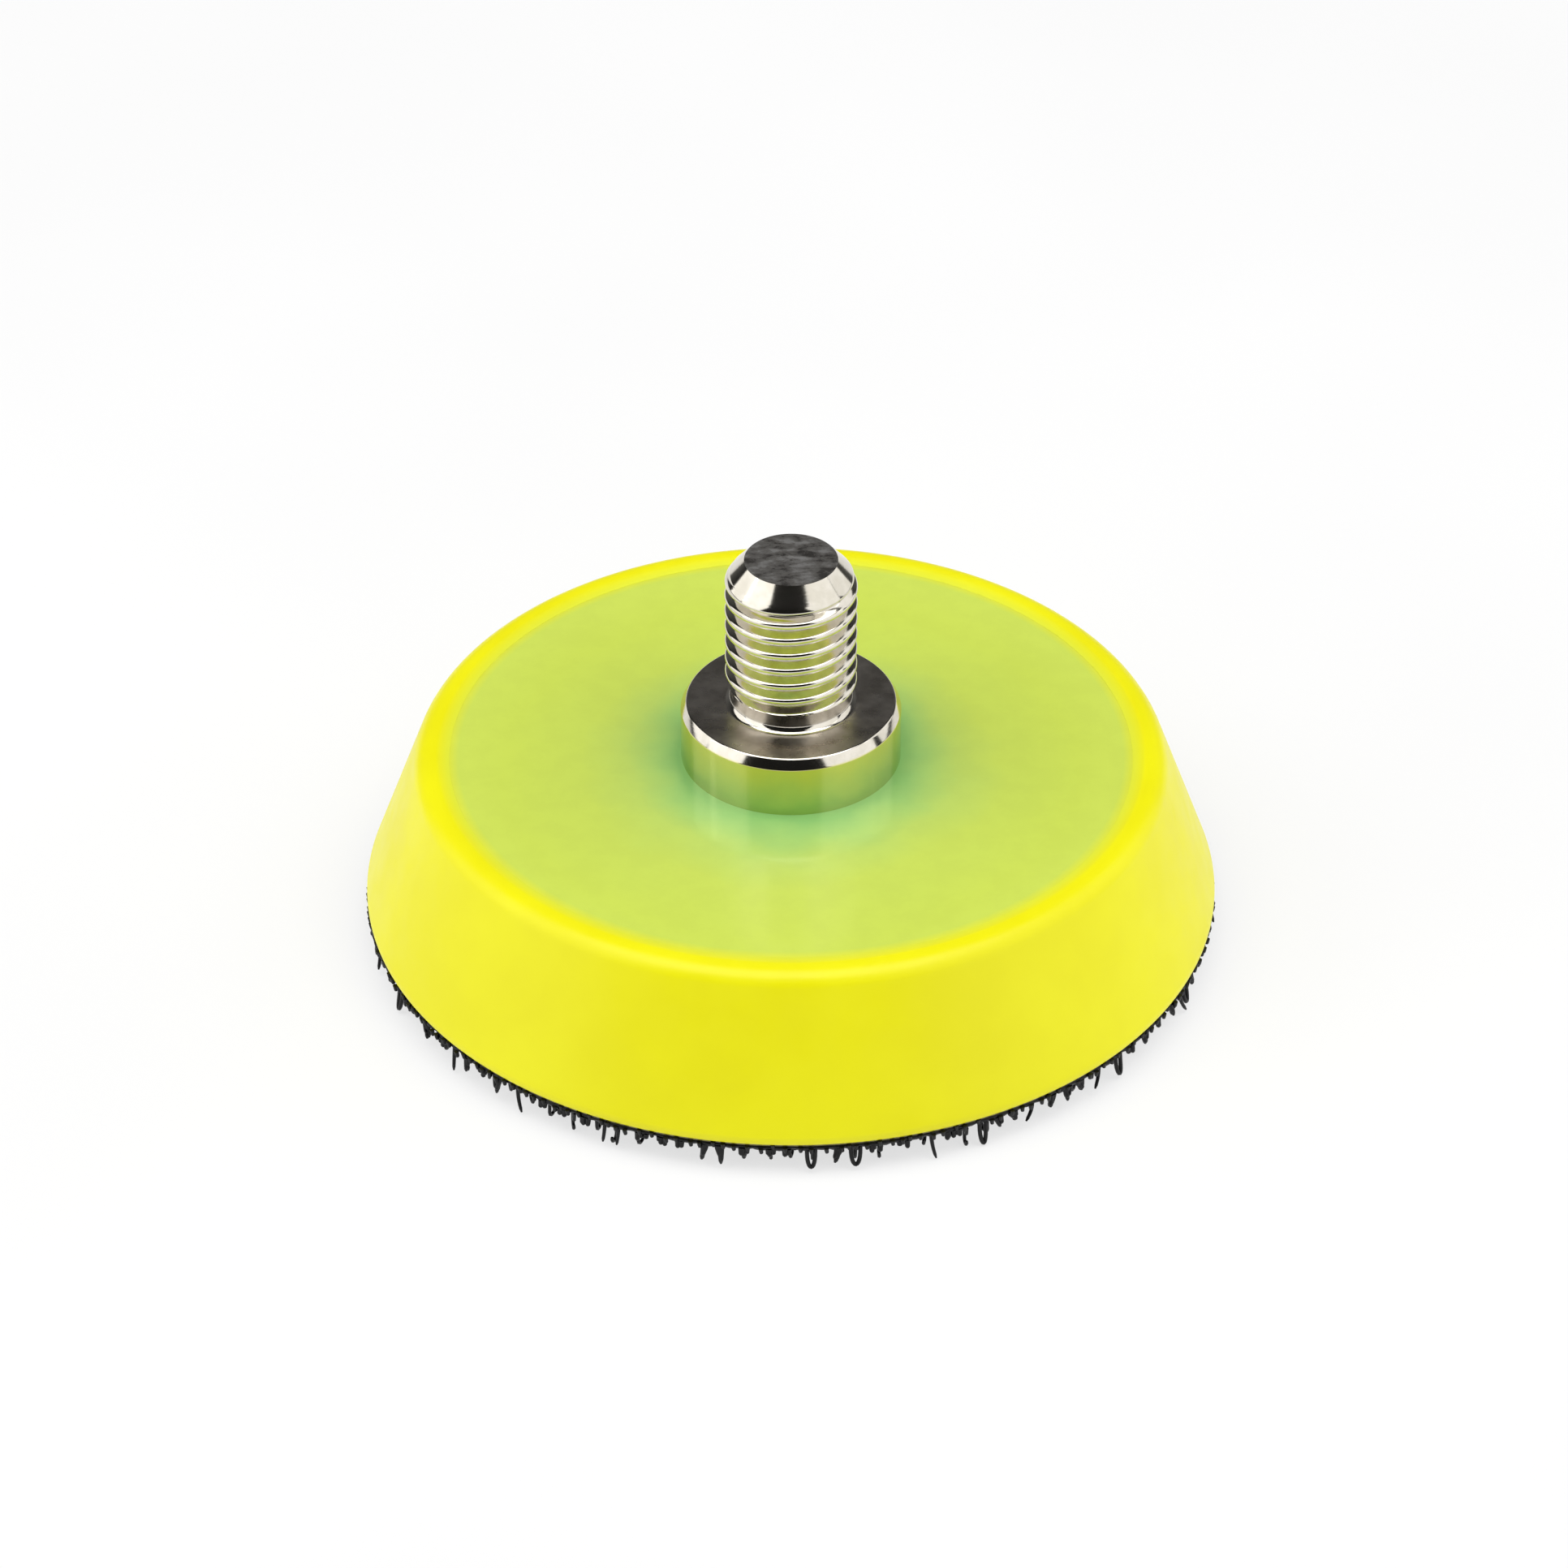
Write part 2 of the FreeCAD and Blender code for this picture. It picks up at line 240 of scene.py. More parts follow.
class Shader:
    """A material with one Principled shader and the node links that feed it."""

    def __init__(self, name, **sockets):
        self.material = bpy.data.materials.new(name)
        self.material.use_nodes = True
        self.tree = self.material.node_tree
        self.surface = self.tree.nodes["Principled BSDF"]
        for socket, value in sockets.items():
            self.surface.inputs[socket.replace("_", " ")].default_value = value
        self.place = self.node("ShaderNodeTexCoord").outputs["Object"]

    def node(self, kind, **settings):
        made = self.tree.nodes.new(kind)
        for key, value in settings.items():
            setattr(made, key, value)
        return made

    def link(self, source, target):
        self.tree.links.new(source, target)

    def feed(self, socket, source):
        self.link(source, self.surface.inputs[socket])

    def math(self, operation, first, second=0.0):
        made = self.node("ShaderNodeMath", operation=operation)
        for slot, value in enumerate((first, second)):
            if isinstance(value, (int, float)):
                made.inputs[slot].default_value = value
            else:
                self.link(value, made.inputs[slot])
        return made.outputs[0]

    def axis(self, letter):
        """One coordinate of the surface, in millimetres."""
        split = self.node("ShaderNodeSeparateXYZ")
        self.link(self.place, split.inputs[0])
        return self.math("MULTIPLY", split.outputs[letter], 1 / MM)

    def off_axis(self):
        """Distance from the stud's axis, in millimetres."""
        x, y = self.axis("X"), self.axis("Y")
        squared = self.math("ADD", self.math("MULTIPLY", x, x), self.math("MULTIPLY", y, y))
        return self.math("SQRT", squared)

    def noise(self, size, detail=2.0, rough=0.5, stretch=(1, 1, 1), place=None):
        """Noise whose features are about size millimetres across."""
        mapping = self.node("ShaderNodeMapping")
        mapping.inputs["Scale"].default_value = stretch
        self.link(place or self.place, mapping.inputs["Vector"])
        made = self.node("ShaderNodeTexNoise")
        made.inputs["Scale"].default_value = 1 / (size * MM)
        made.inputs["Detail"].default_value = detail
        made.inputs["Roughness"].default_value = rough
        self.link(mapping.outputs[0], made.inputs["Vector"])
        return made.outputs["Fac"]

    def ramp(self, source, stops, smooth=True):
        """Colours or greys at positions from 0 to 1 of a value."""
        made = self.node("ShaderNodeValToRGB")
        made.color_ramp.interpolation = "EASE" if smooth else "LINEAR"
        elements = made.color_ramp.elements
        while len(elements) < len(stops):
            elements.new(0.5)
        for element, (position, colour) in zip(elements, stops):
            element.position = position
            if isinstance(colour, (int, float)):
                colour = (colour,) * 3
            element.color = (*colour, 1)
        self.link(source, made.inputs[0])
        return made.outputs["Color"]

    def spread(self, source, low, high, to_low=0.0, to_high=1.0):
        """A value between low and high carried to between to_low and to_high."""
        made = self.node("ShaderNodeMapRange")
        for socket, value in (
            ("From Min", low),
            ("From Max", high),
            ("To Min", to_low),
            ("To Max", to_high),
        ):
            made.inputs[socket].default_value = value
        self.link(source, made.inputs["Value"])
        return made.outputs["Result"]

    def mix(self, share, first, second, blend="MIX"):
        made = self.node("ShaderNodeMix", data_type="RGBA", blend_type=blend)
        for socket, value in ((0, share), (6, first), (7, second)):
            if isinstance(value, (int, float)):
                made.inputs[socket].default_value = value
            elif isinstance(value, tuple):
                made.inputs[socket].default_value = (*value, 1)
            else:
                self.link(value, made.inputs[socket])
        return made.outputs[2]

    def bump(self, layers):
        """Relief from (height, depth in millimetres) layers, one on top of another."""
        normal = None
        for height, depth in layers:
            made = self.node("ShaderNodeBump")
            made.inputs["Strength"].default_value = 1.0
            made.inputs["Distance"].default_value = depth * MM
            self.link(height, made.inputs["Height"])
            if normal:
                self.link(normal, made.inputs["Normal"])
            normal = made.outputs["Normal"]
        self.feed("Normal", normal)


# ------------------------------------------------------------------- materials


def polyurethane():
    """Cast lemon-yellow polyurethane: an even satin skin with a very fine grain."""
    shader = Shader("polyurethane", Roughness=0.36, Specular_IOR_Level=0.3)
    patches = shader.noise(7.0, 3.0)
    skin = shader.ramp(patches, [(0.3, (0.88, 0.83, 0.003)), (0.7, (0.92, 0.88, 0.005))])
    clear_of_plate = shader.spread(shader.off_axis(), PLATE_LIP_RADIUS, PLATE_RADIUS + 0.6)
    shader.feed("Base Color", shader.mix(clear_of_plate, PLATE_EDGE_TINT, skin))
    shader.feed("Roughness", shader.spread(shader.noise(1.5, 4.0), 0.3, 0.7, 0.32, 0.42))
    shader.bump(
        [
            (shader.noise(4.0, 2.0), 0.05),
            (shader.noise(0.12, 3.0, 0.6), 0.0035),
        ]
    )
    return shader.material


def glass_fibre():
    """Green-yellow epoxy laminate with a blue-green halo where the washer lies below it."""
    shader = Shader(
        "glass_fibre_laminate",
        Roughness=0.32,
        Coat_Weight=0.6,
        Coat_Roughness=0.11,
    )
    wander = shader.spread(shader.noise(5.0, 3.0), 0.3, 0.7, -0.6, 0.6)
    forward = shader.math("MULTIPLY", shader.axis("Y"), 0.09)
    reach = shader.math("ADD", shader.math("ADD", shader.off_axis(), wander), forward)
    share = shader.spread(reach, COLLAR_RADIUS, PLATE_RADIUS)
    body = shader.ramp(
        share,
        [
            (0.0, (0.27, 0.57, 0.17)),
            (0.05, (0.35, 0.63, 0.18)),
            (0.12, (0.43, 0.68, 0.17)),
            (0.24, (0.55, 0.73, 0.14)),
            (0.42, (0.62, 0.765, 0.11)),
            (0.75, (0.65, 0.79, 0.10)),
            (1.0, (0.67, 0.81, 0.11)),
        ],
        smooth=False,
    )
    edge = shader.spread(shader.off_axis(), PLATE_LIP_RADIUS - 0.55, PLATE_LIP_RADIUS)
    rimmed = shader.mix(edge, body, PLATE_EDGE_TINT)
    mottle = shader.ramp(shader.noise(1.6, 5.0, 0.6), [(0.35, 0.97), (0.65, 1.0)])
    shader.feed("Base Color", shader.mix(1.0, rimmed, mottle, "MULTIPLY"))
    warp = shader.node("ShaderNodeTexWave", bands_direction="X")
    weft = shader.node("ShaderNodeTexWave", bands_direction="Y")
    glass_yarn_pitch = 0.9
    bands_per_scale = 0.314
    for yarns in (warp, weft):
        yarns.inputs["Scale"].default_value = bands_per_scale / (glass_yarn_pitch * MM)
        yarns.inputs["Distortion"].default_value = 0.6
        shader.link(shader.place, yarns.inputs["Vector"])
    weave = shader.math("MAXIMUM", warp.outputs["Fac"], weft.outputs["Fac"])
    shader.bump([(weave, 0.0008), (shader.noise(3.0, 3.0), 0.012)])
    return shader.material


def turning_rings(shader, off_axis, height):
    """Fine relief that is the same all round the axis, as a turning tool leaves it."""
    around = shader.node("ShaderNodeCombineXYZ")
    shader.link(off_axis, around.inputs["X"])
    shader.link(height, around.inputs["Y"])
    rings = shader.node("ShaderNodeTexNoise")
    rings.inputs["Scale"].default_value = 9.0
    rings.inputs["Detail"].default_value = 3.0
    shader.link(around.outputs[0], rings.inputs["Vector"])
    return rings.outputs["Fac"]


def turned_steel():
    """Nickel-plated turned steel: a smeared end face, duller flats, and a collar side painted
    olive, a painted reflection of the yellow-green plate.
    """
    shader = Shader("nickel_plated_steel", Metallic=1.0)
    off_axis = shader.off_axis()
    height = shader.axis("Z")
    facing = shader.node("ShaderNodeSeparateXYZ")
    shader.link(shader.node("ShaderNodeNewGeometry").outputs["Normal"], facing.inputs[0])
    on_flat = shader.spread(facing.outputs["Z"], 0.94, 0.985)
    on_end = shader.spread(height, STUD_TOP - 0.05, STUD_TOP - 0.02)
    painted_reflection_side = shader.spread(off_axis, COLLAR_RADIUS - 0.06, COLLAR_RADIUS - 0.01)
    smears = shader.noise(1.0, 5.0, 0.65, stretch=(0.7, 1.3, 1))
    end = shader.ramp(
        smears,
        [(0.38, (0.30, 0.28, 0.26)), (0.50, (0.66, 0.63, 0.59)), (0.62, (1.0, 0.98, 0.95))],
    )
    clouds = shader.noise(2.2, 3.0, 0.55)
    collar = shader.ramp(clouds, [(0.35, (0.34, 0.31, 0.27)), (0.7, (0.54, 0.50, 0.45))])
    scuffs = shader.noise(0.8, 3.0, 0.5)
    plating = shader.ramp(scuffs, [(0.3, (0.66, 0.62, 0.53)), (0.7, (0.74, 0.70, 0.62))])
    turned = shader.mix(on_flat, plating, shader.mix(on_end, collar, end))
    # The collar's side gets an olive base colour: a painted reflection of the yellow-green plate
    # and pad around it.
    shader.feed("Base Color", shader.mix(painted_reflection_side, turned, (0.66, 0.64, 0.33)))
    dullness = shader.math("MULTIPLY", on_flat, shader.spread(smears, 0.35, 0.7, 0.14, 0.26))
    shader.feed("Roughness", shader.math("ADD", dullness, 0.11))
    shader.bump([(turning_rings(shader, off_axis, height), 0.0012)])
    return shader.material


def zinc_plate():
    """Satin zinc with paler and greyer stains."""
    shader = Shader("zinc_plated_steel", Metallic=1.0, Roughness=0.3)
    stains = shader.noise(1.2, 4.0, 0.6)
    shader.feed(
        "Base Color",
        shader.ramp(stains, [(0.3, (0.48, 0.52, 0.54)), (0.7, (0.66, 0.68, 0.68))]),
    )
    shader.feed("Roughness", shader.spread(stains, 0.3, 0.7, 0.24, 0.4))
    shader.bump([(shader.noise(0.3, 3.0), 0.004)])
    return shader.material


def adhesive():
    """Amber adhesive, darker in patches."""
    shader = Shader("adhesive", Roughness=0.3)
    shader.feed(
        "Base Color",
        shader.ramp(
            shader.noise(0.8, 3.0), [(0.3, (0.10, 0.09, 0.03)), (0.7, (0.20, 0.17, 0.05))]
        ),
    )
    shader.bump([(shader.noise(0.4, 2.0), 0.01)])
    return shader.material


def nylon_hooks():
    """Black satin nylon with a paler scuff here and there."""
    shader = Shader("nylon_hooks", Roughness=0.38, Specular_IOR_Level=0.25)
    scuffs = shader.noise(0.35, 3.0, 0.6)
    shader.feed(
        "Base Color",
        shader.ramp(scuffs, [(0.4, (0.003, 0.003, 0.004)), (0.75, (0.014, 0.014, 0.015))]),
    )
    shader.feed("Roughness", shader.spread(scuffs, 0.3, 0.7, 0.30, 0.48))
    shader.bump([(shader.noise(0.06, 2.0), 0.002)])
    return shader.material


def nylon_ground():
    """Dull black woven nylon with fine fibres."""
    shader = Shader("nylon_ground", Roughness=0.6, Specular_IOR_Level=0.5)
    fibres = shader.noise(0.05, 2.0, 0.6, stretch=(1, 0.15, 1))
    shader.feed(
        "Base Color",
        shader.ramp(fibres, [(0.3, (0.010, 0.010, 0.011)), (0.7, (0.040, 0.040, 0.043))]),
    )
    shader.feed("Roughness", shader.spread(fibres, 0.3, 0.7, 0.55, 0.8))
    shader.bump([(fibres, 0.012)])
    return shader.material


def floor_paper():
    """White table, a little self-lit so that it clears to white away from the pad."""
    shader = Shader(
        "floor_paper",
        Roughness=0.9,
        Specular_IOR_Level=0.0,
        Emission_Color=(1, 1, 1, 1),
        Emission_Strength=0.70,
    )
    shader.feed(
        "Base Color",
        shader.ramp(shader.noise(60.0, 2.0), [(0.3, 0.27), (0.7, 0.29)]),
    )
    return shader.material


# ---------------------------------------------------------------------- pieces


def make_pad_body(material):
    """The cast body, with soft edges and the seats of the plate, washer and rivet head."""
    outline = rounded(
        [
            (0, PAD_BOTTOM, 0),
            (RIM_RADIUS, PAD_BOTTOM, 0.28),
            (RIM_RADIUS, PAD_BOTTOM + 0.5, 0.9),
            (SHOULDER_RADIUS, PAD_TOP, 1.2),
            (PLATE_RADIUS + 0.45, PAD_TOP, 0.8),
            (PLATE_LIP_RADIUS, PLATE_TOP + 0.01, 0),
            (PLATE_LIP_RADIUS, PLATE_TOP + 0.001, 0),
            (PLATE_RADIUS + 0.02, PLATE_TOP + 0.001, 0),
            (PLATE_RADIUS + 0.02, PLATE_BOTTOM, 0),
            (WASHER_RADIUS, PLATE_BOTTOM, 0),
            (WASHER_RADIUS, WASHER_BOTTOM, 0),
            (RIVET_RADIUS, WASHER_BOTTOM, 0),
            (RIVET_RADIUS, STUD_BOTTOM, 0),
            (0, STUD_BOTTOM, 0),
        ]
    )
    body = lathe("cast_body", outline, material)
    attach(body, "root")
    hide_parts("pad_body")
    return body


def thread_turn():
    """One pitch of the thread in section, from the middle of a groove to the next."""
    root = THREAD_RADIUS - THREAD_DEPTH
    low = GROOVE_ROOT / 2
    high = low + THREAD_DEPTH * math.tan(THREAD_FLANK)
    section = rounded(
        [
            (root, 0, 0),
            (root, low, 0.05),
            (THREAD_RADIUS, high, 0.22),
            (THREAD_RADIUS, THREAD_PITCH - high, 0.22),
            (root, THREAD_PITCH - low, 0.05),
            (root, THREAD_PITCH, 0),
        ],
        steps=6,
    )
    return subdivided(section, 0.08)[:-1]


def thread_radius_at(turn, height):
    """Radius of the thread's section at a height above the middle of a groove."""
    height %= THREAD_PITCH
    closing = [*turn, Vector((turn[0].x, THREAD_PITCH))]
    for below, above in zip(closing, closing[1:]):
        if height <= above.y:
            share = (height - below.y) / (above.y - below.y)
            return below.x + (above.x - below.x) * share
    return turn[0].x


def bevel_radius_at(height):
    """Radius of the unthreaded blank: a bevel at the tip that rounds over into the side."""
    drop = STUD_TOP - height
    straight = 0.75 * TIP_BEVEL
    slope = (THREAD_RADIUS - TIP_RADIUS) / TIP_BEVEL
    if drop < straight:
        return TIP_RADIUS + slope * drop
    reach = 2 * (TIP_BEVEL - straight)
    share = min((drop - straight) / reach, 1)
    return TIP_RADIUS + slope * (straight + reach * (share - share**2 / 2))


def thread_column(turn, around):
    """Places up the thread at one angle; around is that angle as a share of a turn."""
    fade_end = STUD_TOP - 0.95
    fade_length = 0.9
    lowest = THREAD_START - GROOVE_LEAD_IN + THREAD_PITCH * (around - 2)
    turns = math.ceil((STUD_TOP - THREAD_START) / THREAD_PITCH) + 4
    places = []
    for number in range(turns):
        for place in turn:
            height = lowest + number * THREAD_PITCH + place.y
            height = min(max(height, THREAD_START), STUD_TOP)
            groove = THREAD_RADIUS - thread_radius_at(turn, height - lowest)
            fade = min(max((fade_end - height) / fade_length, 0), 1)
            start_rise = (height - THREAD_START) / THREAD_START_BEVEL
            radius = min(
                bevel_radius_at(height) - groove * fade,
                NECK_RADIUS + (THREAD_RADIUS - NECK_RADIUS) * start_rise,
            )
            places.append((radius, height))
    return places


def shank_radius_at(angle):
    """Radius of the six-sided shank at an angle."""
    across_flats = SHANK_CORNER_RADIUS * math.cos(math.pi / 6)
    off_flat = (angle + math.pi / 6) % (math.pi / 3) - math.pi / 6
    return across_flats / math.cos(math.pi / 6 - abs(off_flat))


def stud_tail():
    """Outline of the riveted head and of the spigot above it."""
    return rounded(
        [
            (RIVET_CROWN_RADIUS, STUD_BOTTOM, 0),
            (RIVET_RADIUS, STUD_BOTTOM + RIVET_CROWN, 0.3),
            (RIVET_RADIUS, WASHER_BOTTOM, 0),
            (SPIGOT_RADIUS, WASHER_BOTTOM, 0),
            (SPIGOT_RADIUS, PLATE_BOTTOM, 0),
        ],
        steps=4,
    )


def stud_collar():
    """Outline of the collar and of the relieved neck above it."""
    return rounded(
        [
            (COLLAR_RADIUS, PLATE_TOP, 0),
            (COLLAR_RADIUS, COLLAR_TOP - COLLAR_BEVEL_DEPTH, 0.25),
            (COLLAR_RADIUS - COLLAR_BEVEL_WIDTH, COLLAR_TOP, 0.2),
            (NECK_RADIUS, COLLAR_TOP, 0.5),
            (NECK_RADIUS, THREAD_START, 0),
        ],
        steps=6,
    )


def make_stud(material):
    """Turned stud: riveted tail, six-sided shank, collar, relieved neck and thread.

    It is built of columns of points, one for each angle. The thread's rows climb from
    column to column, so the last column joins the first one a whole turn's rows higher.
    """
    tail, collar, turn = stud_tail(), stud_collar(), thread_turn()
    segments = 180
    points, faces = [], []
    for k in range(segments):
        angle = 2 * math.pi * k / segments
        shank = shank_radius_at(angle)
        column = [(0, STUD_BOTTOM), *tail, (shank, PLATE_BOTTOM), (shank, PLATE_TOP), *collar]
        column += thread_column(turn, k / segments)
        column += [(TIP_DIMPLE_RADIUS, STUD_TOP), (0, STUD_TOP - TIP_DIMPLE_DEPTH)]
        for radius, height in column:
            points.append((radius * math.cos(angle), radius * math.sin(angle), height))
    width = len(column)
    thread_first = 1 + len(tail) + 2 + len(collar)
    for k in range(segments):
        following = (k + 1) % segments
        shift = len(turn) if following == 0 else 0
        here, there = k * width, following * width
        for row in range(width - 1):
            low = min(row + shift * (row >= thread_first), width - 1)
            high = min(row + 1 + shift * (row + 1 >= thread_first), width - 1)
            faces.append((here + row, there + low, there + high, here + row + 1))
    stud = new_piece("stud", points, faces, material, 35, weld_reach=0.002)
    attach(stud, "root")
    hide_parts("threaded_stud")
    return stud


def weave_height(x, y):
    """Height of a plain weave: warp and weft yarns pass over each other by turns."""
    yarn_thickness = 0.22
    u, v = x / YARN_PITCH, y / YARN_PITCH
    over = 1 if (math.floor(u) + math.floor(v)) % 2 else -1
    warp = math.sin(math.pi * (u % 1)) * (0.5 + 0.5 * over * math.sin(math.pi * (v % 1)))
    weft = math.sin(math.pi * (v % 1)) * (0.5 - 0.5 * over * math.sin(math.pi * (u % 1)))
    return yarn_thickness * max(warp, weft)


def make_hook_ground(material):
    """Woven ground of the hook tape, cut to a disc."""
    step = YARN_PITCH / 5
    count = int(TAPE_RADIUS / step)
    inside = {}
    points, faces = [], []
    for i in range(-count, count + 1):
        for j in range(-count, count + 1):
            x, y = i * step, j * step
            if math.hypot(x, y) <= TAPE_RADIUS - 0.3:
                inside[i, j] = len(points)
                points.append((x, y, TAPE_BOTTOM - weave_height(x, y)))
    for (i, j), corner in inside.items():
        around = [inside.get(place) for place in ((i, j + 1), (i + 1, j + 1), (i + 1, j))]
        if None not in around:
            faces.append((corner, *around))
    ground = new_piece("woven_ground", points, faces, material, 80)
    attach(ground, "root")
    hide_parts("hook_tape")
    return ground


def make_tape_edge(material):
    """The tape's cut edge: a band all round that swells and frays."""
    segments = 720
    inner, lower_edge = -0.6, 0.32
    profile = ((inner, 0.0), (-0.05, 0.0), (0.05, 0.12), (-0.05, lower_edge), (inner, 0.38))
    swell = [random_edge.uniform(-1, 1) for _ in range(segments)]
    points, faces = [], []
    for k in range(segments):
        angle = 2 * math.pi * k / segments
        fray = 0.5 * swell[k] + 0.25 * (swell[k - 1] + swell[(k + 1) % segments])
        for inward, drop in profile:
            radius = TAPE_RADIUS + inward + (0.09 * fray if inward > inner else 0)
            height = TAPE_TOP - drop - (0.07 * fray if drop == lower_edge else 0)
            points.append((radius * math.cos(angle), radius * math.sin(angle), height))
    width = len(profile)
    for k in range(segments):
        here, there = k * width, (k + 1) % segments * width
        for side in range(width):
            following = (side + 1) % width
            faces.append((here + side, there + side, there + following, here + following))
    edge = new_piece("tape_edge", points, faces, material, 80)
    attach(edge, "root")
    return edge


def hook_path(root, heading, lean, height, bend, steps):
    """A strand that runs down from its root and curls back up at its tip."""
    forward = Vector((math.cos(heading), math.sin(heading), 0))
    turned_down = Vector((0, 0, -1)) + forward * math.tan(lean)
    turned_down.normalize()
    curl = math.radians(200)
    straight = height - bend - HOOK_WIRE
    path = [root, root + turned_down * straight * 0.5, root + turned_down * straight]
    centre = path[-1] + forward * bend
    for step in range(1, steps + 1):
        angle = curl * step / steps
        path.append(
            centre - forward * bend * math.cos(angle) - Vector((0, 0, bend * math.sin(angle)))
        )
    return path


def make_hooks(material):
    """Rows of cut loops: each one leaves a hooked strand and a short stub beside it.

    The hooks of one row all point one way, and those of the next row the other way.
    """
    strands = Strands(6)
    rows = int(TAPE_RADIUS / HOOK_SPACING) + 1
    scatter = 0.08
    top = TAPE_BOTTOM + 0.05
    for row in range(-rows, rows + 1):
        for place in range(-rows, rows + 1):
            x = row * HOOK_SPACING
            y = (place + 0.5 * (row % 2)) * HOOK_SPACING
            x += random_hooks.gauss(0, scatter)
            y += random_hooks.gauss(0, scatter)
            if math.hypot(x, y) > TAPE_RADIUS - 0.5:
                continue
            side = 1 if row % 2 else -1
            heading = math.pi / 2 * side + random_hooks.gauss(0, 0.25)
            bend = random_hooks.uniform(0.24, 0.34)
            height = TAPE_BOTTOM * random_hooks.uniform(0.86, 1.0)
            lean = random_hooks.gauss(0, 0.06)
            path = hook_path(Vector((x, y, top)), heading, lean, height, bend, 6)
            strands.add(path, [HOOK_WIRE] * (len(path) - 1) + [HOOK_WIRE * 0.8])
            stub = Vector((x, y, top)) + Vector((0.12, 0.55 * side, 0))
            reach = random_hooks.uniform(0.4, 0.75)
            tip = stub + Vector((random_hooks.gauss(0, 0.06), -0.1 * side, -reach))
            strands.add([stub, (stub + tip) / 2, tip], [HOOK_WIRE] * 3)
    hooks = strands.piece("hooks", material)
    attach(hooks, "root")
    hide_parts("hook_pile")
    return hooks


def fringe_strand(strands, root, outward, along, length, splay, curl, wire):
    """One bent strand at the rim, splayed outward and curled along the edge."""
    path = []
    steps = 7
    for step in range(steps + 1):
        share = step / steps
        path.append(
            root
            + outward * splay * share**1.4
            + along * curl * share**2
            - Vector((0, 0, length * share))
        )
    radii = [wire * (1 - 0.25 * step / steps) for step in range(steps)]
    strands.add(path, [*radii, 0.4 * wire])


def fringe_loop(strands, root, outward, along, length, width, splay, wire):
    """An uncut loop that hangs from the rim."""
    path = []
    steps = 12
    for step in range(steps + 1):
        angle = math.pi * step / steps
        depth = math.sin(angle)
        path.append(
            root
            - along * width / 2 * math.cos(angle)
            + outward * splay * depth
            - Vector((0, 0, length * depth**0.7))
        )
    strands.add(path, [wire] * (steps + 1))


def fringe_clump(strands, root, outward, along, longest):
    """Several strands stuck together, longest in the middle and leaning one way."""
    lean = random_fringe.uniform(-0.30, 0.30)
    width = random_fringe.uniform(0.14, 0.30)
    length = longest * random_fringe.uniform(0.45, 0.85)
    for _ in range(random_fringe.randint(6, 9)):
        shift = random_fringe.uniform(-1, 1)
        fringe_strand(
            strands,
            root + along * shift * width,
            outward,
            along,
            length * (1 - 0.5 * abs(shift)),
            random_fringe.uniform(0.0, 0.2),
            lean - shift * width * 0.8,
            0.165,
        )


def fringe_uncut_loop(strands, root, outward, along, longest):
    """One loop that was never cut open."""
    length = longest * random_fringe.uniform(0.75, 0.98)
    width = random_fringe.uniform(0.40, 0.60)
    fringe_loop(strands, root, outward, along, length, width, 0.2, 0.13)


def fringe_stray(strands, root, outward, along, longest):
    """One long strand that curls away along the rim."""
    length = longest * random_fringe.uniform(0.6, 0.98)
    splay = random_fringe.uniform(0.1, 0.4)
    curl = random_fringe.uniform(-0.6, 0.6)
    fringe_strand(strands, root, outward, along, length, splay, curl, 0.13)


def fringe_stubs(strands, root, outward, along, longest):
    """Three short stubs side by side."""
    for _ in range(3):
        length = longest * random_fringe.uniform(0.2, 0.38)
        shift = along * random_fringe.uniform(-0.3, 0.3)
        fringe_strand(strands, root + shift, outward, along, length, 0.1, 0.0, 0.19)


def add_hanging_fringe(strands):
    """Clumps, uncut loops, stray strands and stubs that hang from the tape's edge."""
    shares = ((0.45, fringe_clump), (0.52, fringe_uncut_loop), (0.68, fringe_stray))
    place = 0.0
    while place < 2 * math.pi * TAPE_RADIUS:
        outward, along = directions_at(place / TAPE_RADIUS)
        root = outward * (TAPE_RADIUS - 0.1)
        root.z = TAPE_BOTTOM + 0.15
        longest = root.z - HOOK_WIRE
        kind = random_fringe.random()
        tuft = next((tuft for share, tuft in shares if kind < share), fringe_stubs)
        tuft(strands, root, outward, along, longest)
        place += random_fringe.uniform(0.75, 1.75)


def add_edge_knots(strands):
    """Small knots of yarn along the tape's cut edge."""
    place = 0.0
    while place < 2 * math.pi * TAPE_RADIUS:
        outward, along = directions_at(place / TAPE_RADIUS)
        knot = outward * (TAPE_RADIUS + random_fringe.uniform(0.02, 0.16))
        knot.z = TAPE_TOP + random_fringe.uniform(-0.15, 0.15)
        fringe_strand(strands, knot, outward, along, 0.40, -0.05, 0.05, 0.15)
        place += random_fringe.uniform(0.4, 0.9)


def make_fringe(material):
    """All that shows below the rim from the side."""
    strands = Strands(7)
    add_hanging_fringe(strands)
    add_edge_knots(strands)
    fringe = strands.piece("hook_fringe", material)
    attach(fringe, "root")
    return fringe


def dress_cad_nodes(finishes):
    """Give each CAD node that stays its own material."""
    for node, material in finishes.items():
        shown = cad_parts[node]
        shown.data.materials.clear()
        shown.data.materials.append(material)


# ----------------------------------------------------------------------- stage


def make_floor(material):
    """A table top, 4 m square."""
    bpy.ops.mesh.primitive_grid_add(x_subdivisions=8, y_subdivisions=8, size=4)
    floor = bpy.context.object
    floor.name = "floor"
    floor.data.materials.append(material)


